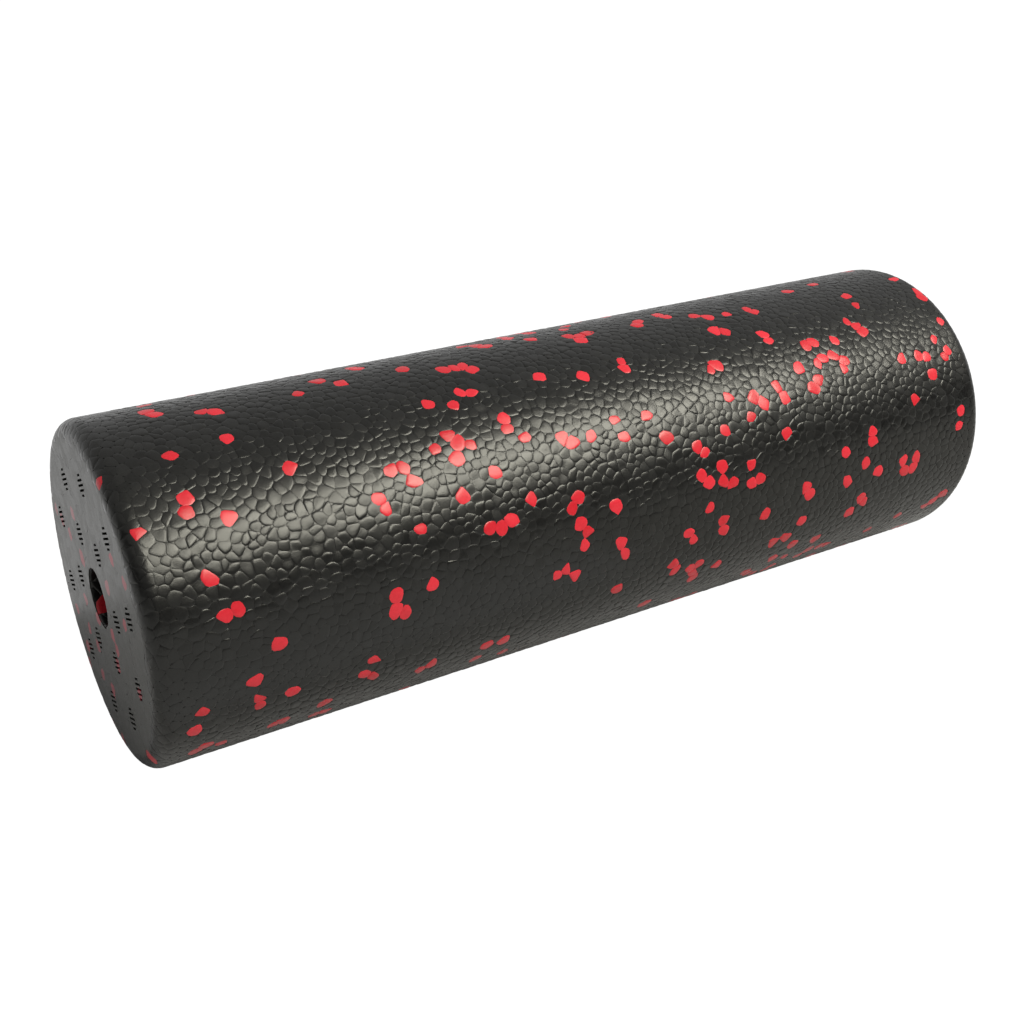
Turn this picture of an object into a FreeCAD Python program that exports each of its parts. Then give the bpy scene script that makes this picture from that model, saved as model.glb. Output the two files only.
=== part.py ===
import FreeCAD, Part
import Sketcher
import math
import os
import random

# Moulded bead-foam massage roller, 450 x 150 mm, in millimetres.
# The roller lies along X with its axis through the origin; +Z is up.
# The real object is one steam-fused moulding of black and red foam beads. Here the black
# beads are one solid, and the red beads that reach a surface are solids of their own,
# set flush into pockets of the black one.

DIMENSIONS = {
    "roller_length": 450.0,
    "roller_diameter": 150.0,
    "edge_radius": 7.0,
    "bore_diameter": 25.0,
    "mouth_radius": 1.0,
    # steam vents pressed into both end faces: two rings of slotted discs
    "vent_diameter": 9.6,
    "slot_width": 1.0,
    "slot_pitch": 2.1,
    "slot_depth": 2.0,
    "inner_vent_radius": 28.0,
    "inner_vent_count": 6,
    "inner_vent_start": 5.0,
    "outer_vent_radius": 52.0,
    "outer_vent_count": 10,
    "outer_vent_start": 16.5,
    # beads: radius of a black bead, how much larger a red one is, how far it reaches inwards
    "bead_radius": 1.9,
    "bead_spread": 0.2,
    "red_scale": 1.22,
    "bead_depth": 3.0,
    "bead_taper": 0.8,
    "weld_gap": 0.3,
    "red_bead_count": 700,
    "red_pair_share": 0.3,
    "red_slope": 0.3,
    # one red bead sits on the rim of the bore, low on the left face, and shows in the bore too
    "rim_bead_radius": 14.6,
    "rim_bead_angle": 245.0,
    "rim_bead_scale": 1.4,
    "rim_wall_depth": 2.4,
    "rim_wall_scale": 0.5,
}

# The packing is random but always the same one.
PACKING_SEED = 19897
TRIES_PER_SIZE = 60000
BLACK_SIZES = (1.0, 0.9, 0.78)

# Beads press on each other only where their outward normals lean the same way.
LEAST_ALIGNMENT = 0.2
SHORTEST_EDGE = 0.4
CUTTER_PROUD = 1.0

# Rounded edges first: their pockets are the slowest to cut, and cut fastest from a plain blank.
ZONES = ("left_edge", "right_edge", "left_end", "right_end", "bore", "side")


def new_document():
    doc = FreeCAD.newDocument("foam_roller")
    sheet = doc.addObject("Spreadsheet::Sheet", "dims")
    for row, (name, value) in enumerate(DIMENSIONS.items(), start=1):
        sheet.set("A%d" % row, name)
        sheet.set("B%d" % row, str(value))
        sheet.setAlias("B%d" % row, name)
    doc.recompute()
    return doc, sheet


def plane(body, role):
    return next(item for item in body.Origin.OriginFeatures if item.Role == role)


# ---------------------------------------------------------------- the moulded blank

def half_section(body, sheet):
    """The rectangle that turns into the roller: bore wall to outside, end to end."""
    sketch = body.newObject("Sketcher::SketchObject", "half_section")
    sketch.AttachmentSupport = (plane(body, "XZ_Plane"), [""])
    sketch.MapMode = "FlatFace"
    half = sheet.roller_length / 2
    inner = sheet.bore_diameter / 2
    outer = sheet.roller_diameter / 2
    corners = [(-half, inner), (half, inner), (half, outer), (-half, outer)]
    for start, end in zip(corners, corners[1:] + corners[:1]):
        sketch.addGeometry(Part.LineSegment(FreeCAD.Vector(*start, 0), FreeCAD.Vector(*end, 0)))
    bottom, right, top, left = range(4)
    for line, following in ((bottom, right), (right, top), (top, left), (left, bottom)):
        sketch.addConstraint(Sketcher.Constraint("Coincident", line, 2, following, 1))
    sketch.addConstraint(Sketcher.Constraint("Horizontal", top))
    for line in (right, left):
        sketch.addConstraint(Sketcher.Constraint("Vertical", line))
    vertical_axis = -2
    origin = -1
    sketch.addConstraint(Sketcher.Constraint("Symmetric", bottom, 1, bottom, 2, vertical_axis))
    driven = (
        ("length", Sketcher.Constraint("DistanceX", bottom, 1, bottom, 2, 2 * half),
         "dims.roller_length"),
        ("inner", Sketcher.Constraint("DistanceY", origin, 1, bottom, 1, inner),
         "dims.bore_diameter / 2"),
        ("outer", Sketcher.Constraint("DistanceY", origin, 1, top, 1, outer),
         "dims.roller_diameter / 2"),
    )
    for name, constraint, expression in driven:
        index = sketch.addConstraint(constraint)
        sketch.renameConstraint(index, name)
        sketch.setExpression("Constraints." + name, expression)
    return sketch


def circles_of_radius(shape, radius):
    names = []
    for index, edge in enumerate(shape.Edges, start=1):
        if edge.Curve.TypeId == "Part::GeomCircle" and abs(edge.Curve.Radius - radius) < 1e-6:
            names.append("Edge%d" % index)
    return names


def vent_centres(sheet):
    """Centres of the slotted discs on an end face, as (y, z)."""
    rings = (
        (sheet.inner_vent_radius, int(sheet.inner_vent_count), sheet.inner_vent_start),
        (sheet.outer_vent_radius, int(sheet.outer_vent_count), sheet.outer_vent_start),
    )
    centres = []
    for radius, count, start in rings:
        for step in range(count):
            angle = math.radians(start + 360.0 * step / count)
            centres.append((-radius * math.cos(angle), radius * math.sin(angle)))
    return centres


def vent_sketch(body, sheet):
    """Level slots that fill each disc, drawn on the right end face."""
    sketch = body.newObject("Sketcher::SketchObject", "vent_slots")
    sketch.AttachmentSupport = (plane(body, "YZ_Plane"), [""])
    sketch.MapMode = "FlatFace"
    sketch.setExpression("AttachmentOffset.Base.z", "dims.roller_length / 2")
    vent_radius = sheet.vent_diameter / 2
    half_width = sheet.slot_width / 2
    rows_each_way = int((vent_radius - half_width) / sheet.slot_pitch)
    for centre_y, centre_z in vent_centres(sheet):
        for row in range(-rows_each_way, rows_each_way + 1):
            offset = row * sheet.slot_pitch
            reach = math.sqrt(vent_radius ** 2 - offset ** 2)
            low = centre_z + offset - half_width
            high = centre_z + offset + half_width
            corners = [
                (centre_y - reach, low), (centre_y + reach, low),
                (centre_y + reach, high), (centre_y - reach, high),
            ]
            for start, end in zip(corners, corners[1:] + corners[:1]):
                line = Part.LineSegment(FreeCAD.Vector(*start, 0), FreeCAD.Vector(*end, 0))
                sketch.addGeometry(line)
    return sketch


def make_blank(doc, sheet):
    """The whole moulding before any bead is told apart: turned, rounded, vented at both ends."""
    body = doc.addObject("PartDesign::Body", "blank")
    section = half_section(body, sheet)
    turned = body.newObject("PartDesign::Revolution", "turned_roller")
    turned.Profile = section
    turned.ReferenceAxis = (section, ["H_Axis"])
    turned.Angle = 360
    doc.recompute()

    edges = body.newObject("PartDesign::Fillet", "rounded_edges")
    edges.Base = (turned, circles_of_radius(turned.Shape, sheet.roller_diameter / 2))
    edges.setExpression("Radius", "dims.edge_radius")
    doc.recompute()

    mouths = body.newObject("PartDesign::Fillet", "rounded_mouths")
    mouths.Base = (edges, circles_of_radius(edges.Shape, sheet.bore_diameter / 2))
    mouths.setExpression("Radius", "dims.mouth_radius")
    doc.recompute()
    plain_volume = mouths.Shape.Volume

    slots = vent_sketch(body, sheet)
    vents = body.newObject("PartDesign::Pocket", "right_vents")
    vents.Profile = slots
    vents.Type = 0
    vents.setExpression("Length", "dims.slot_depth")
    doc.recompute()
    removed = plain_volume - vents.Shape.Volume
    assert removed > 0, "the vent slots point out of the foam"

    both = body.newObject("PartDesign::Mirrored", "left_vents")
    both.Originals = [vents]
    both.MirrorPlane = (plane(body, "YZ_Plane"), [""])
    body.Tip = both
    doc.recompute()
    removed_twice = plain_volume - both.Shape.Volume
    assert abs(removed_twice - 2 * removed) < 0.01 * removed, "the left vents are missing"
    return body


# ---------------------------------------------------------------- the beads

class Bead:
    """One bead that reaches the surface: where, which way is out, how large, which colour."""

    def __init__(self, zone, point, normal, radius, red):
        self.zone = zone
        self.point = point
        self.normal = normal
        self.radius = radius
        self.red = red


class BeadLayout:
    """Random close packing of beads over every surface of the roller."""

    def __init__(self, sheet, seed):
        self.rng = random.Random(seed)
        self.half = sheet.roller_length / 2
        self.outer = sheet.roller_diameter / 2
        self.edge = sheet.edge_radius
        self.bore = sheet.bore_diameter / 2
        self.mean = sheet.bead_radius
        self.spread = sheet.bead_spread
        self.red_scale = sheet.red_scale
        self.slope = sheet.red_slope
        # wider than two of the largest beads, so only neighbouring cells need looking at
        self.cell = 3.0 * self.mean
        self.beads = []
        self.grid = {}

    def place(self, zone, along, angle):
        """A point of a zone and its outward normal. along is x on the side and in the bore,
        the tilt from the side's normal on an edge, and the radius on an end."""
        cos_a = math.cos(angle)
        sin_a = math.sin(angle)
        if zone == "side":
            return (along, self.outer * cos_a, self.outer * sin_a), (0.0, cos_a, sin_a)
        if zone == "bore":
            return (along, self.bore * cos_a, self.bore * sin_a), (0.0, -cos_a, -sin_a)
        way = -1.0 if zone.startswith("left") else 1.0
        if zone.endswith("end"):
            return (way * self.half, along * cos_a, along * sin_a), (way, 0.0, 0.0)
        lean = math.cos(along)
        normal = (way * math.sin(along), lean * cos_a, lean * sin_a)
        core = self.outer - self.edge
        point = (
            way * (self.half - self.edge) + self.edge * normal[0],
            core * cos_a + self.edge * normal[1],
            core * sin_a + self.edge * normal[2],
        )
        return point, normal

    def random_place(self):
        """A zone picked by its area, and an even spread within it."""
        core = self.outer - self.edge
        mean_edge = core + self.edge * 2 / math.pi
        areas = {
            "side": 2 * math.pi * self.outer * 2 * (self.half - self.edge),
            "left_edge": 2 * math.pi * mean_edge * self.edge * math.pi / 2,
            "left_end": math.pi * (core ** 2 - self.bore ** 2),
            "bore": 2 * math.pi * self.bore * 2 * self.half,
        }
        areas["right_edge"] = areas["left_edge"]
        areas["right_end"] = areas["left_end"]
        pick = self.rng.random() * sum(areas.values())
        share = self.rng.random()
        angle = self.rng.uniform(-math.pi, math.pi)
        for zone in ZONES:
            pick -= areas[zone]
            if pick < 0:
                break
        if zone == "side":
            along = (2 * share - 1) * (self.half - self.edge)
        elif zone == "bore":
            along = (2 * share - 1) * self.half
        elif zone.endswith("end"):
            along = math.sqrt(self.bore ** 2 + share * (core ** 2 - self.bore ** 2))
        else:
            along = share * math.pi / 2
        point, normal = self.place(zone, along, angle)
        return zone, point, normal

    def key(self, point):
        return tuple(int(math.floor(value / self.cell)) for value in point)

    def near(self, point, reach):
        i, j, k = self.key(point)
        span = range(-reach, reach + 1)
        for a in span:
            for b in span:
                for c in span:
                    for bead in self.grid.get((i + a, j + b, k + c), ()):
                        yield bead

    def fits(self, point, radius):
        return all(
            math.dist(point, bead.point) >= bead.radius + radius
            for bead in self.near(point, 1)
        )

    def add(self, zone, point, normal, radius, red):
        if not self.fits(point, radius):
            return None
        bead = Bead(zone, point, normal, radius, red)
        self.beads.append(bead)
        self.grid.setdefault(self.key(point), []).append(bead)
        return bead

    def random_radius(self, scale):
        return self.mean * scale * self.rng.uniform(1 - self.spread, 1 + self.spread)

    def throw_red(self, count, pair_share):
        """Red beads first, thicker towards the right end, some of them side by side."""
        placed = 0
        while placed < count:
            zone, point, normal = self.random_place()
            likelihood = (1 + self.slope * point[0] / self.half) / (1 + self.slope)
            if self.rng.random() > likelihood:
                continue
            radius = self.random_radius(self.red_scale)
            bead = self.add(zone, point, normal, radius, True)
            if bead is None:
                continue
            placed += 1
            if zone == "side" and self.rng.random() < pair_share:
                if self.add_partner(bead) is not None:
                    placed += 1

    def add_partner(self, bead):
        """A second red bead that touches this one on the side of the roller."""
        radius = self.random_radius(self.red_scale)
        turn = self.rng.uniform(0, 2 * math.pi)
        gap = 1.02 * (bead.radius + radius)
        along = bead.point[0] + gap * math.cos(turn)
        angle = math.atan2(bead.point[2], bead.point[1]) + gap * math.sin(turn) / self.outer
        if abs(along) > self.half - self.edge:
            return None
        point, normal = self.place("side", along, angle)
        return self.add("side", point, normal, radius, True)

    def throw_black(self, tries_per_size):
        """Black beads fill what is left, from large to small, until few more would fit."""
        for scale in BLACK_SIZES:
            for _ in range(tries_per_size):
                zone, point, normal = self.random_place()
                self.add(zone, point, normal, self.random_radius(scale), False)


def tangents(normal):
    """Two directions at right angles to the normal and to each other."""
    out = FreeCAD.Vector(*normal)
    guide = FreeCAD.Vector(1, 0, 0)
    if abs(normal[0]) > 0.7:
        guide = FreeCAD.Vector(0, 0, 1)
    first = (guide - out * guide.dot(out)).normalize()
    return out, first, out.cross(first)


def clip(polygon, normal_u, normal_w, limit):
    """Keep the part of a convex polygon with u * normal_u + w * normal_w below the limit."""
    kept = []
    for start, end in zip(polygon, polygon[1:] + polygon[:1]):
        start_over = start[0] * normal_u + start[1] * normal_w - limit
        end_over = end[0] * normal_u + end[1] * normal_w - limit
        if start_over <= 0:
            kept.append(start)
        if start_over * end_over < 0:
            share = start_over / (start_over - end_over)
            kept.append((
                start[0] + share * (end[0] - start[0]),
                start[1] + share * (end[1] - start[1]),
            ))
    return kept


def without_short_edges(polygon, shortest):
    kept = []
    for corner in polygon:
        if not kept or math.dist(corner, kept[-1]) > shortest:
            kept.append(corner)
    while math.dist(kept[0], kept[-1]) < shortest:
        kept.pop()
    return kept


def bead_outline(layout, bead, gap):
    """The flat-sided outline a bead is pressed into by its neighbours, in its tangent plane."""
    origin = FreeCAD.Vector(*bead.point)
    out, first, second = tangents(bead.normal)
    reach = 4 * layout.mean
    polygon = [(-reach, -reach), (reach, -reach), (reach, reach), (-reach, reach)]
    for other in layout.near(bead.point, 2):
        if other is bead or out.dot(FreeCAD.Vector(*other.normal)) < LEAST_ALIGNMENT:
            continue
        apart = FreeCAD.Vector(*other.point) - origin
        u = apart.dot(first)
        w = apart.dot(second)
        flat = math.hypot(u, w)
        if flat < 1e-6:
            continue
        limit = (apart.Length ** 2 + bead.radius ** 2 - other.radius ** 2) / (2 * flat)
        polygon = clip(polygon, u / flat, w / flat, limit - gap / 2)
    return without_short_edges(polygon, SHORTEST_EDGE)


def bead_cutter(layout, bead, sheet):
    """A tapered prism on the bead's outline, standing a little proud of the surface."""
    origin = FreeCAD.Vector(*bead.point)
    out, first, second = tangents(bead.normal)
    outline = bead_outline(layout, bead, sheet.weld_gap)
    bend = {"side": 1 / layout.outer, "bore": -1 / layout.bore}.get(bead.zone, 0.0)
    if bead.zone.endswith("edge"):
        bend = 1 / layout.edge

    def ring(height, scale):
        return [origin + out * height + (first * u + second * w) * scale for u, w in outline]

    top = ring(CUTTER_PROUD, 1 + bend * CUTTER_PROUD)
    foot = ring(-sheet.bead_depth, (1 - bend * sheet.bead_depth) * sheet.bead_taper)
    count = len(outline)
    faces = [Part.Face(Part.makePolygon(loop + loop[:1])) for loop in (top, foot)]
    for i in range(count):
        j = (i + 1) % count
        side = [top[i], top[j], foot[j], foot[i], top[i]]
        faces.append(Part.Face(Part.makePolygon(side)))
    shell = Part.makeShell(faces)
    shell.sewShape()
    solid = Part.makeSolid(shell)
    if solid.Volume < 0:
        solid.reverse()
    return solid


def make_layout(sheet):
    layout = BeadLayout(sheet, PACKING_SEED)
    rim_angle = math.radians(180 - sheet.rim_bead_angle)
    point, normal = layout.place("left_end", sheet.rim_bead_radius, rim_angle)
    layout.add("left_end", point, normal, layout.mean * sheet.rim_bead_scale, True)
    point, normal = layout.place("bore", sheet.rim_wall_depth - layout.half, rim_angle)
    layout.add("bore", point, normal, layout.mean * sheet.rim_wall_scale, True)
    layout.throw_red(int(sheet.red_bead_count), sheet.red_pair_share)
    layout.throw_black(TRIES_PER_SIZE)
    return layout


# ---------------------------------------------------------------- assembly

def build():
    os.makedirs("parts", exist_ok=True)
    doc, sheet = new_document()
    blank = make_blank(doc, sheet)
    layout = make_layout(sheet)

    # Zone by zone: the red beads take their share of the foam, and their pockets stay behind.
    nodes = []
    foam = blank.Shape
    for zone in ZONES:
        beads = [bead for bead in layout.beads if bead.red and bead.zone == zone]
        cutters = [bead_cutter(layout, bead, sheet) for bead in beads]
        red = doc.addObject("Part::Feature", "red_beads_" + zone)
        red.Shape = Part.makeCompound(cutters).common(foam)
        nodes.append(red)
        foam = foam.cut(cutters)
    pocketed = doc.addObject("Part::Feature", "foam_body")
    pocketed.Shape = foam
    nodes.insert(0, pocketed)
    doc.recompute()

    for item in doc.Objects:
        assert "Invalid" not in item.State and "Error" not in item.State, item.Label
    for node in nodes:
        assert not node.Shape.isNull() and node.Shape.isValid(), node.Label
        node.Shape.exportStep("parts/%s.step" % node.Label)
        print(node.Label, len(node.Shape.Solids), round(node.Shape.Volume))
    print("beads", len(layout.beads), "red", sum(bead.red for bead in layout.beads))


build()
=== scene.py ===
import math
import random

import bpy
import numpy as np
from mathutils import Matrix, Vector

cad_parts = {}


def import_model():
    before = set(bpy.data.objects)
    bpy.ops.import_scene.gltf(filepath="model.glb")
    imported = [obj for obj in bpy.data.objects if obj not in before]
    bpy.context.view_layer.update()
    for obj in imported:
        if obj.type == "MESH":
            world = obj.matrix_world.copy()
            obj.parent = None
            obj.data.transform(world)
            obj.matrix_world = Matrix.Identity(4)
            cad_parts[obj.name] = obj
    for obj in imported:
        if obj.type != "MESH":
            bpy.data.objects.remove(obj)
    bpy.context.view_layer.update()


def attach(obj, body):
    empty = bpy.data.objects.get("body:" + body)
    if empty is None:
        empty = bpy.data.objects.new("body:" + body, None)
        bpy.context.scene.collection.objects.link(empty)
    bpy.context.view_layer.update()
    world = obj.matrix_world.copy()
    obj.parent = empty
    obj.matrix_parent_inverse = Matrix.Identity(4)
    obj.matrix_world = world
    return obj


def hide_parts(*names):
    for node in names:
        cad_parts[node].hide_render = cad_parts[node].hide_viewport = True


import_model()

# Bead-foam massage roller: black and red beads pressed flat against each other in a mould.
# The layout of the beads is worked out in millimetres, as in the CAD part, so the red beads
# lie in their CAD places. Meshes are in metres. The slots of the vents are turned from level
# here, as on the real roller; the CAD part has them level.

MM = 0.001
HALF = 225.0
OUTER = 75.0
EDGE = 7.0
BORE = 12.5
MOUTH = 1.0
BEAD_RADIUS = 1.9
BEAD_SPREAD = 0.2
RED_SCALE = 1.22
RED_COUNT = 700
RED_PAIR_SHARE = 0.3
RED_SLOPE = 0.3
RIM_BEAD_RADIUS = 14.6
RIM_BEAD_ANGLE = 245.0
RIM_BEAD_SCALE = 1.4
RIM_WALL_DEPTH = 2.4
RIM_WALL_SCALE = 0.5
VENT_RADIUS = 4.8
SLOT_WIDTH = 1.0
SLOT_PITCH = 2.1
SLOT_DEPTH = 2.0
SLOT_SLOPE = math.radians(-24.0)
VENT_RINGS = ((28.0, 6, 5.0), (52.0, 10, 16.5))
ZONES = ("left_edge", "right_edge", "left_end", "right_end", "bore", "side")

# The packing is random but always the same one, and so are the small tilts of the caps.
PACKING_SEED = 19897
TRIES_PER_SIZE = 60000
BLACK_SIZES = (1.0, 0.9, 0.78)
LOOK_SEED = 29


# ---------------------------------------------------------------- bead layout

class Bead:
    def __init__(self, zone, point, normal, radius, red):
        self.zone = zone
        self.point = point
        self.normal = normal
        self.radius = radius
        self.red = red


class BeadLayout:
    """Random close packing of beads over every surface of the roller, as in the CAD part."""

    def __init__(self, seed):
        self.rng = random.Random(seed)
        self.cell = 3.0 * BEAD_RADIUS
        self.beads = []
        self.grid = {}

    def place(self, zone, along, angle):
        cos_a = math.cos(angle)
        sin_a = math.sin(angle)
        if zone == "side":
            return (along, OUTER * cos_a, OUTER * sin_a), (0.0, cos_a, sin_a)
        if zone == "bore":
            return (along, BORE * cos_a, BORE * sin_a), (0.0, -cos_a, -sin_a)
        way = -1.0 if zone.startswith("left") else 1.0
        if zone.endswith("end"):
            return (way * HALF, along * cos_a, along * sin_a), (way, 0.0, 0.0)
        lean = math.cos(along)
        normal = (way * math.sin(along), lean * cos_a, lean * sin_a)
        core = OUTER - EDGE
        point = (
            way * (HALF - EDGE) + EDGE * normal[0],
            core * cos_a + EDGE * normal[1],
            core * sin_a + EDGE * normal[2],
        )
        return point, normal

    def random_place(self):
        core = OUTER - EDGE
        mean_edge = core + EDGE * 2 / math.pi
        areas = {
            "side": 2 * math.pi * OUTER * 2 * (HALF - EDGE),
            "left_edge": 2 * math.pi * mean_edge * EDGE * math.pi / 2,
            "left_end": math.pi * (core ** 2 - BORE ** 2),
            "bore": 2 * math.pi * BORE * 2 * HALF,
        }
        areas["right_edge"] = areas["left_edge"]
        areas["right_end"] = areas["left_end"]
        pick = self.rng.random() * sum(areas.values())
        share = self.rng.random()
        angle = self.rng.uniform(-math.pi, math.pi)
        for zone in ZONES:
            pick -= areas[zone]
            if pick < 0:
                break
        if zone == "side":
            along = (2 * share - 1) * (HALF - EDGE)
        elif zone == "bore":
            along = (2 * share - 1) * HALF
        elif zone.endswith("end"):
            along = math.sqrt(BORE ** 2 + share * (core ** 2 - BORE ** 2))
        else:
            along = share * math.pi / 2
        point, normal = self.place(zone, along, angle)
        return zone, point, normal

    def key(self, point):
        return tuple(int(math.floor(value / self.cell)) for value in point)

    def near(self, point, reach):
        i, j, k = self.key(point)
        span = range(-reach, reach + 1)
        for a in span:
            for b in span:
                for c in span:
                    for bead in self.grid.get((i + a, j + b, k + c), ()):
                        yield bead

    def fits(self, point, radius):
        return all(
            math.dist(point, bead.point) >= bead.radius + radius
            for bead in self.near(point, 1)
        )

    def add(self, zone, point, normal, radius, red):
        if not self.fits(point, radius):
            return None
        bead = Bead(zone, point, normal, radius, red)
        self.beads.append(bead)
        self.grid.setdefault(self.key(point), []).append(bead)
        return bead

    def random_radius(self, scale):
        return BEAD_RADIUS * scale * self.rng.uniform(1 - BEAD_SPREAD, 1 + BEAD_SPREAD)

    def throw_red(self, count, pair_share):
        placed = 0
        while placed < count:
            zone, point, normal = self.random_place()
            likelihood = (1 + RED_SLOPE * point[0] / HALF) / (1 + RED_SLOPE)
            if self.rng.random() > likelihood:
                continue
            radius = self.random_radius(RED_SCALE)
            bead = self.add(zone, point, normal, radius, True)
            if bead is None:
                continue
            placed += 1
            if zone == "side" and self.rng.random() < pair_share:
                if self.add_partner(bead) is not None:
                    placed += 1

    def add_partner(self, bead):
        radius = self.random_radius(RED_SCALE)
        turn = self.rng.uniform(0, 2 * math.pi)
        gap = 1.02 * (bead.radius + radius)
        along = bead.point[0] + gap * math.cos(turn)
        angle = math.atan2(bead.point[2], bead.point[1]) + gap * math.sin(turn) / OUTER
        if abs(along) > HALF - EDGE:
            return None
        point, normal = self.place("side", along, angle)
        return self.add("side", point, normal, radius, True)

    def throw_black(self, tries_per_size):
        for scale in BLACK_SIZES:
            for attempt in range(tries_per_size):
                zone, point, normal = self.random_place()
                self.add(zone, point, normal, self.random_radius(scale), False)


def make_layout():
    layout = BeadLayout(PACKING_SEED)
    rim_angle = math.radians(180 - RIM_BEAD_ANGLE)
    point, normal = layout.place("left_end", RIM_BEAD_RADIUS, rim_angle)
    layout.add("left_end", point, normal, BEAD_RADIUS * RIM_BEAD_SCALE, True)
    point, normal = layout.place("bore", -HALF + RIM_WALL_DEPTH, rim_angle)
    layout.add("bore", point, normal, BEAD_RADIUS * RIM_WALL_SCALE, True)
    layout.throw_red(RED_COUNT, RED_PAIR_SHARE)
    layout.throw_black(TRIES_PER_SIZE)
    return layout


# ---------------------------------------------------------------- bead outlines

# Beads press on each other only where their outward normals lean the same way by this much.
LEAST_ALIGNMENT = 0.2
SHORTEST_EDGE = 0.35
# An outline stays this far from the sharp line where a zone ends.
ZONE_MARGIN = 0.35


def between(start, end, share):
    return start[0] + share * (end[0] - start[0]), start[1] + share * (end[1] - start[1])


def clip(polygon, a, b, limit):
    """Keep the part of a convex polygon with a*u + b*w below the limit."""
    kept = []
    last = polygon[-1]
    last_over = last[0] * a + last[1] * b - limit
    for point in polygon:
        over = point[0] * a + point[1] * b - limit
        if last_over * over < 0:
            share = last_over / (last_over - over)
            kept.append(between(last, point, share))
        if over <= 0:
            kept.append(point)
        last, last_over = point, over
    return kept


def without_short_edges(polygon, shortest):
    kept = []
    for corner in polygon:
        if not kept or math.dist(corner, kept[-1]) > shortest:
            kept.append(corner)
    while len(kept) > 1 and math.dist(kept[0], kept[-1]) < shortest:
        kept.pop()
    return kept


def tangents(normal):
    out = Vector(normal)
    guide = Vector((0, 0, 1)) if abs(normal[0]) > 0.7 else Vector((1, 0, 0))
    first = (guide - out * guide.dot(out)).normalized()
    return out, first, out.cross(first)


def outline(layout, bead):
    """Outline of a bead in its tangent plane, as its neighbours press it flat."""
    ox, oy, oz = bead.point
    nx, ny, nz = bead.normal
    out, first, second = tangents(bead.normal)
    reach = 4 * BEAD_RADIUS
    furthest = 1.45 * reach
    polygon = [(-reach, -reach), (reach, -reach), (reach, reach), (-reach, reach)]
    ranked = []
    for other in layout.near(bead.point, 2):
        px, py, pz = other.point
        dx, dy, dz = px - ox, py - oy, pz - oz
        length = dx * dx + dy * dy + dz * dz
        if other is bead or length > (2 * reach) ** 2:
            continue
        if nx * other.normal[0] + ny * other.normal[1] + nz * other.normal[2] < LEAST_ALIGNMENT:
            continue
        ranked.append((length, dx, dy, dz, other.radius))
    ranked.sort()
    for length, dx, dy, dz, radius in ranked:
        u = dx * first.x + dy * first.y + dz * first.z
        w = dx * second.x + dy * second.y + dz * second.z
        flat = math.hypot(u, w)
        if flat < 1e-6:
            continue
        limit = (length + bead.radius ** 2 - radius ** 2) / (2 * flat)
        if limit > furthest:
            continue
        polygon = clip(polygon, u / flat, w / flat, limit)
    if bead.zone.endswith("end"):
        away = math.hypot(oy, oz)
        u = -(oy * first.y + oz * first.z) / away
        w = -(oy * second.y + oz * second.z) / away
        polygon = clip(polygon, u, w, away - BORE - ZONE_MARGIN)
    if bead.zone == "bore":
        for way in (-1, 1):
            limit = HALF - ZONE_MARGIN - way * ox
            polygon = clip(polygon, way * first.x, way * second.x, limit)
    return without_short_edges(polygon, SHORTEST_EDGE), first, second


def rounded(polygon, share):
    """Cut each corner once, which leaves two points for every corner."""
    points = []
    for i, point in enumerate(polygon):
        after = polygon[(i + 1) % len(polygon)]
        points.append(between(point, after, share))
        points.append(between(after, point, share))
    return points


# ---------------------------------------------------------------- surface of the moulding

def onto_surface(points, zone, heights):
    """Move points to the moulding's rounded surface, then out along its normal by a height."""
    x = points[:, 0]
    rho = np.hypot(points[:, 1], points[:, 2])
    ex_y = points[:, 1] / rho
    ex_z = points[:, 2] / rho
    way = np.where(x < 0, -1.0, 1.0)
    ax = np.abs(x)
    if zone == "bore":
        round_by = MOUTH
        core_x = np.minimum(ax, HALF - round_by)
        core_r = np.maximum(rho, BORE + round_by)
    else:
        near_bore = rho < (BORE + OUTER) / 2
        round_by = np.where(near_bore, MOUTH, EDGE)
        core_x = np.minimum(ax, HALF - round_by)
        core_r = np.where(near_bore, np.maximum(rho, BORE + MOUTH), np.minimum(rho, OUTER - EDGE))
        if zone == "side":
            core_r = np.minimum(rho, OUTER - EDGE)
            round_by = EDGE
            core_x = np.minimum(ax, HALF - EDGE)
    dx = ax - core_x
    dr = rho - core_r
    length = np.maximum(np.hypot(dx, dr), 1e-9)
    nx = dx / length
    nr = dr / length
    out_x = core_x + (round_by + heights) * nx
    out_r = core_r + (round_by + heights) * nr
    return np.stack([way * out_x, out_r * ex_y, out_r * ex_z], axis=1)


# A bead has an upright wall from WALL_FOOT to CREASE, then a cap in rings given as (share of the
# way in from the outline, rise above the crease). The cap has its own copy of the wall's top, so
# the edge between them stays sharp.
WALL_FOOT = -0.95
CREASE = -0.15
WALL_RINGS = 2
CAP = ((0.0, 0.0), (0.07, 0.042), (0.16, 0.076), (0.32, 0.108), (0.6, 0.136))
CROWN = 0.15
TILT = 0.028
TILT_FULL_AT = 0.3
DOME_LEAST = 0.7
DOME_MOST = 1.5
# Near a rim the side's relief fades to this share, over this distance.
RIM_RELIEF = 0.35
RIM_FADE = 12.0


class MeshParts:
    def __init__(self):
        self.points = []
        self.faces = []
        self.tones = []
        self.count = 0

    def add(self, points, faces, tone):
        offset = self.count
        self.points.append(points)
        self.faces.extend(tuple(index + offset for index in face) for face in faces)
        self.tones.append(np.full(len(points), tone))
        self.count += len(points)

    def build(self, name):
        mesh = bpy.data.meshes.new(name)
        mesh.from_pydata((np.concatenate(self.points) * MM).tolist(), [], self.faces)
        mesh.update()
        tone = mesh.attributes.new("tone", "FLOAT", "POINT")
        tone.data.foreach_set("value", np.concatenate(self.tones).astype(np.float32))
        piece = bpy.data.objects.new(name, mesh)
        bpy.context.scene.collection.objects.link(piece)
        return piece


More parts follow.
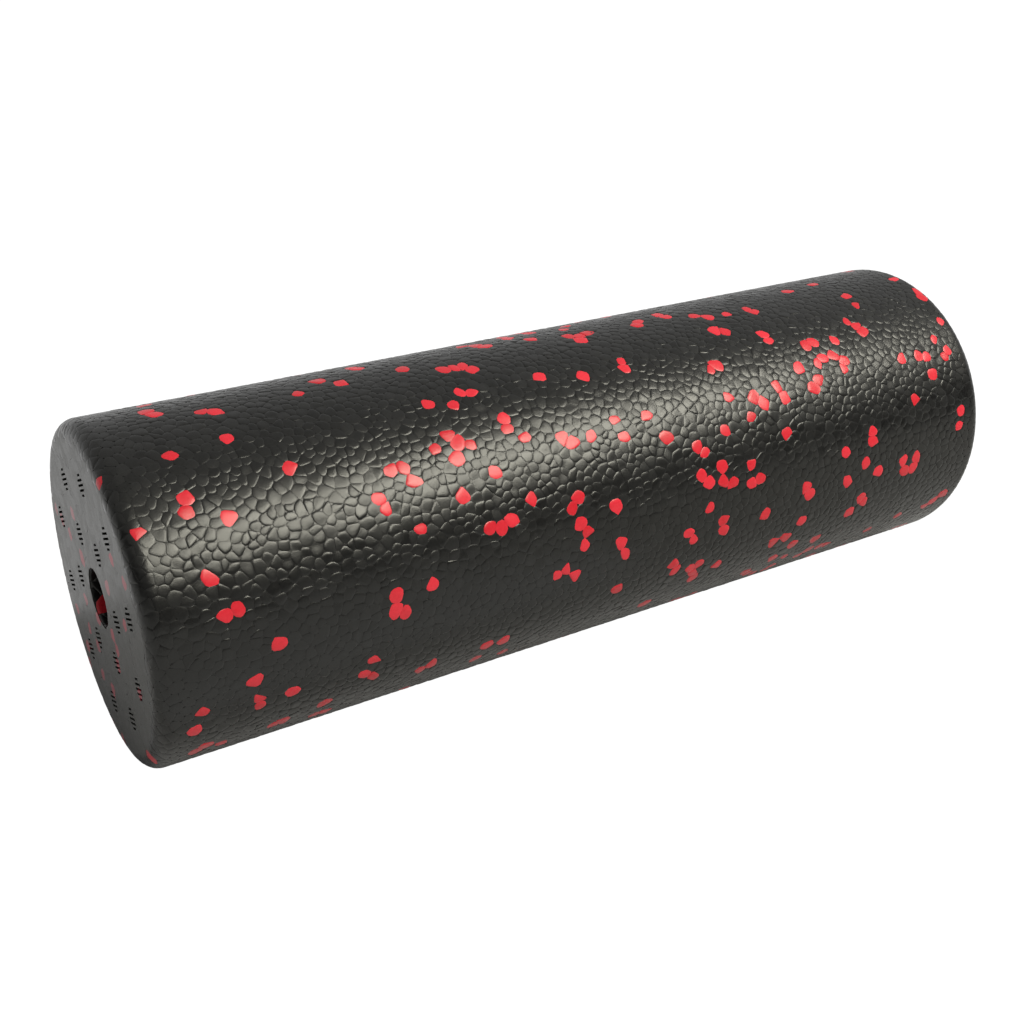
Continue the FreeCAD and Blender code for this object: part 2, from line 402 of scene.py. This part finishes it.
def ring_faces(size, rings, with_centre=True):
    faces = []
    for ring in range(rings - 1):
        if ring == WALL_RINGS - 1:
            continue
        low = ring * size
        for i in range(size):
            j = (i + 1) % size
            faces.append((low + i, low + j, low + size + j, low + size + i))
    top = (rings - 1) * size
    if with_centre:
        centre = rings * size
        faces.extend((top + i, top + (i + 1) % size, centre) for i in range(size))
    else:
        faces.append(tuple(top + i for i in range(size)))
    return faces


# How deep the relief between beads is, next to the side's.
RELIEF = {"side": 1.0, "bore": 1.0, "edge": 0.4, "end": 0.12}
# How much of each edge of the outline is lost to its rounded corners, at each end.
CORNER = {"side": 0.22, "bore": 0.22, "edge": 0.08, "end": 0.04}


def bead_cap(bead, polygon, first, second, rng):
    """A domed, slightly tilted cap with a rounded shoulder, for one bead."""
    kind = bead.zone.split("_")[-1]
    depth = RELIEF[kind]
    if kind == "side":
        from_rim = HALF - EDGE - abs(bead.point[0])
        depth *= min(1.0, RIM_RELIEF + (1 - RIM_RELIEF) * from_rim / RIM_FADE)
    loop = np.array(rounded(polygon, CORNER[kind]))
    centre = loop.mean(axis=0)
    size = len(loop)
    lean_u = rng.gauss(0.0, TILT) * depth
    lean_w = rng.gauss(0.0, TILT) * depth
    dome = rng.uniform(DOME_LEAST, DOME_MOST) * depth
    flat_u = [loop[:, 0]] * WALL_RINGS
    flat_w = [loop[:, 1]] * WALL_RINGS
    heights = [np.full(size, WALL_FOOT), np.full(size, CREASE * depth)]
    for share, rise in CAP:
        ring = centre + (loop - centre) * (1 - share)
        flat_u.append(ring[:, 0])
        flat_w.append(ring[:, 1])
        tilt = lean_u * (ring[:, 0] - centre[0]) + lean_w * (ring[:, 1] - centre[1])
        heights.append(CREASE * depth + rise * dome + tilt * min(1.0, share / TILT_FULL_AT))
    flat_u.append(centre[:1])
    flat_w.append(centre[1:])
    heights.append(np.array([CREASE * depth + CROWN * dome]))
    u = np.concatenate(flat_u)
    w = np.concatenate(flat_w)
    h = np.concatenate(heights)
    plane = np.array(bead.point) + np.outer(u, np.array(first)) + np.outer(w, np.array(second))
    points = onto_surface(plane, bead.zone, h)
    return points, ring_faces(size, WALL_RINGS + len(CAP))


def vent_centres():
    centres = []
    for radius, count, start in VENT_RINGS:
        for step in range(count):
            angle = math.radians(start + 360.0 * step / count)
            centres.append((-radius * math.cos(angle), radius * math.sin(angle)))
    return centres


VENTS = vent_centres()


def turned(points, angle):
    cos_a = math.cos(angle)
    sin_a = math.sin(angle)
    return [(y * cos_a - z * sin_a, y * sin_a + z * cos_a) for y, z in points]


# A vent whose disc is further than this from a bead's middle leaves the bead whole.
BEAD_REACH = 5.0
# Shorter edges are dropped from the pieces between slots.
LEAST_PIECE_EDGE = 0.02
# The pieces' walls go this far below the slots' floor.
FLOOR_OVERLAP = 0.1


def slots_near(y, z):
    """Slots near a point, as (middle, half length, low, high), in axes turned with the slots."""
    found = []
    for vent_y, vent_z in turned(VENTS, -SLOT_SLOPE):
        if math.hypot(vent_y - y, vent_z - z) > VENT_RADIUS + BEAD_REACH:
            continue
        rows = int((VENT_RADIUS - SLOT_WIDTH / 2) / SLOT_PITCH)
        for row in range(-rows, rows + 1):
            offset = row * SLOT_PITCH
            half_length = math.sqrt(VENT_RADIUS ** 2 - offset ** 2)
            middle = vent_z + offset
            found.append((vent_y, half_length, middle - SLOT_WIDTH / 2, middle + SLOT_WIDTH / 2))
    return found


def cut_by_slots(polygon):
    """Convex pieces of a (y, z) polygon that are left around the slots, or None if untouched."""
    polygon = turned(polygon, -SLOT_SLOPE)
    y = sum(p[0] for p in polygon) / len(polygon)
    z = sum(p[1] for p in polygon) / len(polygon)
    pieces = [polygon]
    touched = False
    for middle, half_length, low, high in slots_near(y, z):
        left = []
        for piece in pieces:
            band = clip(piece, 0, 1, high)
            band = clip(band, 0, -1, -low) if len(band) > 2 else band
            inside = clip(band, 1, 0, middle + half_length) if len(band) > 2 else []
            inside = clip(inside, -1, 0, half_length - middle) if len(inside) > 2 else []
            if len(inside) < 3:
                left.append(piece)
                continue
            touched = True
            left.append(clip(piece, 0, 1, low))
            left.append(clip(piece, 0, -1, -high))
            left.append(clip(band, 1, 0, middle - half_length))
            left.append(clip(band, -1, 0, -middle - half_length))
        pieces = [piece for piece in left if len(piece) > 2]
    return [turned(piece, SLOT_SLOPE) for piece in pieces] if touched else None


def flat_piece(bead, polygon, way):
    """A flat-topped piece of a bead between vent slots, with upright walls."""
    loop = np.array(polygon)
    size = len(loop)
    levels = (-SLOT_DEPTH - FLOOR_OVERLAP, 0.0, 0.0)
    points = np.concatenate([
        np.stack([np.full(size, way * (HALF + level)), loop[:, 0], loop[:, 1]], axis=1)
        for level in levels
    ])
    return points, ring_faces(size, len(levels), with_centre=False)


def add_end_bead(parts, bead, polygon, first, second, rng):
    """End-face beads near a vent are pressed flat and slotted; the rest are ordinary caps."""
    way = -1.0 if bead.zone.startswith("left") else 1.0
    world = [
        (
            bead.point[1] + u * first[1] + w * second[1],
            bead.point[2] + u * first[2] + w * second[2],
        )
        for u, w in polygon
    ]
    tone = rng.random()
    pieces = cut_by_slots(world)
    if pieces is None:
        points, faces = bead_cap(bead, polygon, first, second, rng)
        parts.add(points, faces, tone)
        return
    for piece in pieces:
        piece = without_short_edges(piece, LEAST_PIECE_EDGE)
        if len(piece) < 3:
            continue
        points, faces = flat_piece(bead, piece, way)
        parts.add(points, faces, tone)


def bead_meshes():
    """Mesh parts of the black and of the red beads, by zone."""
    layout = make_layout()
    rng = random.Random(LOOK_SEED)
    black = {zone: MeshParts() for zone in ZONES}
    red = {zone: MeshParts() for zone in ZONES}
    for bead in layout.beads:
        polygon, first, second = outline(layout, bead)
        if len(polygon) < 3:
            continue
        parts = (red if bead.red else black)[bead.zone]
        if bead.zone.endswith("end"):
            add_end_bead(parts, bead, polygon, first, second, rng)
        else:
            points, faces = bead_cap(bead, polygon, first, second, rng)
            parts.add(points, faces, rng.random())
    return black, red


# ---------------------------------------------------------------- the skin under the beads

SKIN_UNDER = 0.24
SKIN_AROUND = 256
SKIN_EDGE_STEPS = 8
# The skin steps down by the vents this far outside their ring, over this distance.
STEP_CLEAR = 2.0
STEP_RUN = 1.0


def skin_profile():
    """Half of the skin's section, as (x, r), from the bore's mouth out to the side."""
    near = HALF - SKIN_UNDER
    deep = HALF - SLOT_DEPTH
    vents_from = VENT_RINGS[0][0] - VENT_RADIUS - STEP_CLEAR
    vents_to = VENT_RINGS[-1][0] + VENT_RADIUS + STEP_CLEAR
    profile = [
        (HALF - MOUTH, BORE + SKIN_UNDER),
        (near, BORE + MOUTH),
        (near, vents_from - STEP_RUN),
        (deep, vents_from),
        (deep, vents_to),
        (near, vents_to + STEP_RUN),
        (near, OUTER - EDGE),
    ]
    for step in range(1, SKIN_EDGE_STEPS + 1):
        lean = math.pi / 2 * step / SKIN_EDGE_STEPS
        profile.append((
            HALF - EDGE + (EDGE - SKIN_UNDER) * math.cos(lean),
            OUTER - EDGE + (EDGE - SKIN_UNDER) * math.sin(lean),
        ))
    return profile


def skin():
    """Closed foam skin just under the moulded surface, and down at the slot floors by the vents."""
    profile = skin_profile()
    rings = profile + [(-x, r) for x, r in reversed(profile)]
    points = []
    for x, r in rings:
        for i in range(SKIN_AROUND):
            angle = 2 * math.pi * i / SKIN_AROUND
            points.append((x, r * math.cos(angle), r * math.sin(angle)))
    faces = []
    count = len(rings)
    for k in range(count):
        low = k * SKIN_AROUND
        high = (k + 1) % count * SKIN_AROUND
        for i in range(SKIN_AROUND):
            j = (i + 1) % SKIN_AROUND
            faces.append((low + i, high + i, high + j, low + j))
    parts = MeshParts()
    parts.add(np.array(points), faces, 0.5)
    return parts.build("foam_skin")


# ---------------------------------------------------------------- materials

# How much of a spot's shade is its bead's own tone; the rest is blotches.
TONE_SHARE = 0.45
BLOTCH_SCALE = 900.0
GRAIN_SCALE = 2600.0
GRAIN_HEIGHT = 0.00012
GRAIN_STRENGTH = 0.35
RAMP_ENDS = (0.15, 0.9)
GLOSS_SPREAD = (-0.06, 0.08)
SHEEN_TINT = (1.0, 0.99, 0.91, 1.0)


def noise_node(tree, scale, detail):
    """Noise in the piece's own coordinates."""
    coords = tree.nodes.new("ShaderNodeTexCoord")
    noise = tree.nodes.new("ShaderNodeTexNoise")
    noise.inputs["Scale"].default_value = scale
    noise.inputs["Detail"].default_value = detail
    tree.links.new(coords.outputs["Object"], noise.inputs["Vector"])
    return noise.outputs["Fac"]


def shade_node(tree):
    """The bead's tone and the blotches mixed into one value."""
    tone = tree.nodes.new("ShaderNodeAttribute")
    tone.attribute_name = "tone"
    blotches = tree.nodes.new("ShaderNodeMath")
    blotches.operation = "MULTIPLY"
    blotches.inputs[1].default_value = 1 - TONE_SHARE
    tree.links.new(noise_node(tree, BLOTCH_SCALE, 3.0), blotches.inputs[0])
    mixed = tree.nodes.new("ShaderNodeMath")
    mixed.operation = "MULTIPLY_ADD"
    mixed.inputs[1].default_value = TONE_SHARE
    tree.links.new(tone.outputs["Fac"], mixed.inputs[0])
    tree.links.new(blotches.outputs[0], mixed.inputs[2])
    return mixed.outputs[0]


def foam_material(name, dark, light, roughness, specular):
    """Moulded bead skin: a faint tone for each bead, fine grain, uneven satin gloss."""
    material = bpy.data.materials.new(name)
    material.use_nodes = True
    tree = material.node_tree
    tree.nodes.clear()
    output = tree.nodes.new("ShaderNodeOutputMaterial")
    shader = tree.nodes.new("ShaderNodeBsdfPrincipled")
    tree.links.new(shader.outputs["BSDF"], output.inputs["Surface"])
    shader.inputs["Specular IOR Level"].default_value = specular
    shader.inputs["IOR"].default_value = 1.5
    shader.inputs["Specular Tint"].default_value = SHEEN_TINT
    shade = shade_node(tree)

    ramp = tree.nodes.new("ShaderNodeValToRGB")
    for element, place, colour in zip(ramp.color_ramp.elements, RAMP_ENDS, (dark, light)):
        element.position = place
        element.color = (*colour, 1)
    tree.links.new(shade, ramp.inputs["Fac"])
    tree.links.new(ramp.outputs["Color"], shader.inputs["Base Color"])

    gloss = tree.nodes.new("ShaderNodeMapRange")
    gloss.inputs["To Min"].default_value = roughness + GLOSS_SPREAD[0]
    gloss.inputs["To Max"].default_value = roughness + GLOSS_SPREAD[1]
    tree.links.new(shade, gloss.inputs["Value"])
    tree.links.new(gloss.outputs["Result"], shader.inputs["Roughness"])

    bump = tree.nodes.new("ShaderNodeBump")
    bump.inputs["Strength"].default_value = GRAIN_STRENGTH
    bump.inputs["Distance"].default_value = GRAIN_HEIGHT
    tree.links.new(noise_node(tree, GRAIN_SCALE, 4.0), bump.inputs["Height"])
    tree.links.new(bump.outputs["Normal"], shader.inputs["Normal"])
    return material


def grey(value):
    return value, value, value


# ---------------------------------------------------------------- the roller's pieces

def finish_piece(piece, material, replaced):
    piece.data.materials.append(material)
    piece.data.polygons.foreach_set("use_smooth", [True] * len(piece.data.polygons))
    piece.data.update()
    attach(piece, "root")
    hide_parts(*replaced)


def roller():
    """The foam skin, and the black and red beads of each zone, in their materials."""
    black_side = foam_material("black_foam", grey(0.002), grey(0.006), 0.31, 0.27)
    red_side = foam_material("red_foam", (0.28, 0.005, 0.010), (0.42, 0.013, 0.024), 0.34, 0.27)
    # the end faces are rougher, and their colours hold painted light: the black is lighter for a
    # painted grazing sheen, the red darker and greyer for painted shade with a painted sheen
    black_end_painted_sheen = foam_material(
        "black_foam_end_painted_sheen", (0.024, 0.024, 0.021), (0.036, 0.036, 0.032), 0.40, 0.24
    )
    red_end_painted_shade_and_sheen = foam_material(
        "red_foam_end_painted_shade_and_sheen", (0.19, 0.022, 0.032), (0.27, 0.032, 0.044), 0.40, 0.24
    )
    body_skin = skin()
    finish_piece(body_skin, black_side, ["foam_body"])
    black, red = bead_meshes()
    for zone in ZONES:
        at_end = zone.endswith("end")
        piece = black[zone].build("black_beads_" + zone)
        finish_piece(piece, black_end_painted_sheen if at_end else black_side, ["foam_body"])
        piece = red[zone].build("beads_red_" + zone)
        finish_piece(piece, red_end_painted_shade_and_sheen if at_end else red_side, ["red_beads_" + zone])


# ---------------------------------------------------------------- stage, light, camera

def plain_material(name, colour, roughness):
    material = bpy.data.materials.new(name)
    material.use_nodes = True
    shader = material.node_tree.nodes["Principled BSDF"]
    shader.inputs["Base Color"].default_value = (*colour, 1)
    shader.inputs["Roughness"].default_value = roughness
    return material


def lay_unseen_sheet(name, points, faces, shade):
    """Sheet, unseen by the camera, that darkens what the roller reflects: the dark flag in front,
    and the painted floor shadows.
    """
    mesh = bpy.data.meshes.new(name)
    mesh.from_pydata(points, [], faces)
    piece = bpy.data.objects.new(name, mesh)
    bpy.context.scene.collection.objects.link(piece)
    mesh.materials.append(plain_material(name, grey(shade), 1.0))
    piece.visible_camera = False


def hang_cloth(name, path, low, high, shade):
    """Upright cloth along a path of (x, y) points."""
    points = [(x, y, z) for x, y in path for z in (low, high)]
    faces = [(2 * i, 2 * i + 2, 2 * i + 3, 2 * i + 1) for i in range(len(path) - 1)]
    lay_unseen_sheet(name, points, faces, shade)


def spread_painted_shadow(name, path, shade):
    """Painted floor shadow: a flat grey sheet that stands in for the roller's shadow on the floor,
    at the height of the roller's lowest line, inside a path of (x, y) points.
    """
    points = [(x, y, -OUTER * MM) for x, y in path]
    lay_unseen_sheet(name, points, [tuple(range(len(path)))], shade)


def floor():
    """Pure white floor that glows, so no shadow shows on it."""
    mesh = bpy.data.meshes.new("floor")
    size = 30.0
    z = -(OUTER + 0.2) * MM
    corners = [(-size, -size, z), (size, -size, z), (size, size, z), (-size, size, z)]
    mesh.from_pydata(corners, [], [(0, 1, 2, 3)])
    piece = bpy.data.objects.new("floor", mesh)
    bpy.context.scene.collection.objects.link(piece)
    material = plain_material("pale_floor", grey(0.04), 0.9)
    shader = material.node_tree.nodes["Principled BSDF"]
    shader.inputs["Emission Color"].default_value = (1, 1, 1, 1)
    shader.inputs["Emission Strength"].default_value = 1.0
    mesh.materials.append(material)


def placed(location, right, up, away):
    """World matrix of a thing at a location, with its own axes right, up and away."""
    return Matrix.Translation(location) @ Matrix((right, up, away)).transposed().to_4x4()


def soft_light(name, location, target, along, size_x, size_y, power, colour):
    """A rectangular softbox facing the target, with its long side level along a direction."""
    light = bpy.data.lights.new(name, "AREA")
    light.shape = "RECTANGLE"
    light.size = size_x
    light.size_y = size_y
    light.energy = power
    light.color = colour
    lamp = bpy.data.objects.new(name, light)
    bpy.context.scene.collection.objects.link(lamp)
    away = (Vector(location) - Vector(target)).normalized()
    level = Vector(along)
    level = (level - away * level.dot(away)).normalized()
    lamp.matrix_world = placed(location, level, away.cross(level), away)


def world():
    """White at the horizon, greyer above it."""
    scene_world = bpy.data.worlds.new("studio")
    bpy.context.scene.world = scene_world
    scene_world.use_nodes = True
    nodes = scene_world.node_tree.nodes
    links = scene_world.node_tree.links
    background = nodes["Background"]
    direction = nodes.new("ShaderNodeTexCoord")
    split = nodes.new("ShaderNodeSeparateXYZ")
    links.new(direction.outputs["Generated"], split.inputs[0])
    fade = nodes.new("ShaderNodeMapRange")
    fade.interpolation_type = "SMOOTHSTEP"
    fade.inputs["From Min"].default_value = 0.02
    fade.inputs["From Max"].default_value = 0.12
    fade.inputs["To Min"].default_value = 1.0
    fade.inputs["To Max"].default_value = 0.62
    links.new(split.outputs["Z"], fade.inputs["Value"])
    links.new(fade.outputs["Result"], background.inputs["Strength"])
    background.inputs["Color"].default_value = (1, 1, 1, 1)


def camera():
    """45 mm lens, 64 cm from the roller's centre, 24 degrees up and 33.5 degrees round."""
    azimuth = math.radians(-33.5)
    height = math.radians(24.3)
    distance = 0.638
    # the view is turned and tipped a little away from the roller's centre
    turn = math.radians(1.95)
    tip = math.radians(1.38)

    def outward(a, e):
        return Vector((math.sin(a) * math.cos(e), -math.cos(a) * math.cos(e), math.sin(e)))

    eye = outward(azimuth, height) * distance
    away = outward(azimuth + turn, height + tip)
    right = Vector((0, 0, 1)).cross(away).normalized()
    up = away.cross(right)
    data = bpy.data.cameras.new("camera")
    data.sensor_width = 36.0
    data.lens = 44.97
    data.clip_end = 100
    piece = bpy.data.objects.new("camera", data)
    bpy.context.scene.collection.objects.link(piece)
    piece.matrix_world = placed(eye, right, up, away)
    bpy.context.scene.camera = piece


def stage():
    floor()
    world()
    hang_cloth("dark_cloth", [(-2.6, 0.6), (-2.6, -2.6), (7.0, -2.6)], 0.0, 1.3, 0.02)
    # painted shadows: grey sheets, unseen by the camera, stand in for the roller's shadow on the
    # floor behind the left end and in front of it
    behind_left_end = [(-0.40, -0.01), (-0.222, -0.01), (-0.222, 0.13), (-0.40, 0.13)]
    spread_painted_shadow("pale_cloth", behind_left_end, 0.6)
    in_front = [
        (-0.35, -0.01), (-0.35, -0.08), (0.05, -0.12), (0.25, -1.4), (2.5, -1.4), (2.5, -0.01),
    ]
    spread_painted_shadow("painted_shadow_in_front", in_front, 0.38)
    soft_light(
        "key",
        location=(0.56, -0.98, 1.2),
        target=(0.0, -0.04, 0.04),
        along=(1.8, 1.05, 0.1),
        size_x=1.4,
        size_y=0.5,
        power=58,
        colour=(1.0, 0.98, 0.90),
    )


roller()
stage()
camera()
bpy.context.scene.view_settings.view_transform = "Standard"
